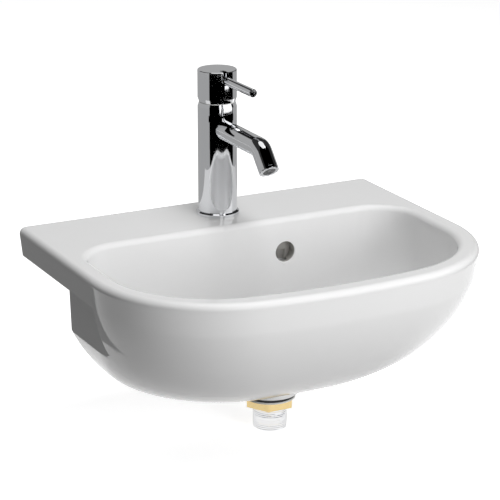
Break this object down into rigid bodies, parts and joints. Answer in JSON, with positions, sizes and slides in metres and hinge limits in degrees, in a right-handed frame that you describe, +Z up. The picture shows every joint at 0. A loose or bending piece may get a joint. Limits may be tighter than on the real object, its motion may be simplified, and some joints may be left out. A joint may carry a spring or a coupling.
{
  "type": "semi recessed basin",
  "caption": "Semi recessed ceramic basin with a single-lever mixer tap, hidden overflow duct and push-plug waste; its back lands on a worktop and its bowl stands proud of the front.",
  "frame": {"origin": "middle of the basin's back edge, on the plane of the land that rests on the worktop", "axes": "+X to the right seen from the front, +Y back into the wall, +Z up; the spout points along -Y"},
  "size_m": [0.5, 0.405, 0.4279],
  "materials": {
    "ceramic": "glossy white glaze",
    "chrome": "polished",
    "rubber": "matt black",
    "plastic": "moulded, pale grey",
    "disc": "lapped",
    "steel": "plain",
    "brass": "turned"
  },
  "bodies": {
    "fixed": {"basin": "ceramic", "base_seal": "rubber", "base_ring": "chrome", "tap_body": "chrome", "aerator_housing": "chrome", "aerator_insert": "plastic", "aerator_washer": "rubber", "cartridge_seals": "rubber", "cartridge_base": "plastic", "fixed_disc": "disc", "cartridge_housing": "plastic", "cartridge_nut": "brass", "glide_ring": "plastic", "fixing_stud": "steel", "fixing_gasket": "rubber", "fixing_plate": "steel", "fixing_nut": "steel", "waste_seal": "rubber", "waste_body": "chrome", "lower_seal": "rubber", "slip_washer": "plastic", "back_nut": "brass", "click_housing": "plastic"},
    "cap": {"handle_cap": "chrome", "turning_sleeve": "plastic", "stem_pin": "steel"},
    "lever": {"pin_lever": "chrome", "lever_hub": "brass", "hub_screw": "steel", "stem": "steel"},
    "disc": {"moving_disc": "disc", "disc_carrier": "plastic"},
    "plug": {"plug_cap": "chrome", "plug_seal": "rubber", "click_spindle": "brass"}
  },
  "joints": [
    {"name": "cap_turn", "type": "hinge", "parent": "fixed", "child": "cap", "pos_m": [0, -0.06, 0.2], "axis": [0, 0, 1], "range_deg": [-45, 45]},
    {"name": "lever_tilt", "type": "hinge", "parent": "cap", "child": "lever", "pos_m": [0, -0.06, 0.203], "axis": [-1, 0, 0], "range_deg": [0, 18]},
    {"name": "disc_slide", "type": "slide", "parent": "cap", "child": "disc", "axis": [0, -1, 0], "range_m": [0, 0.0048]},
    {"name": "plug_slide", "type": "slide", "parent": "fixed", "child": "plug", "axis": [0, 0, -1], "range_m": [0, 0.0075]}
  ],
  "couplings": [
    {"joint": "disc_slide", "follows": "lever_tilt", "m_per_rad": 0.015}
  ]
}
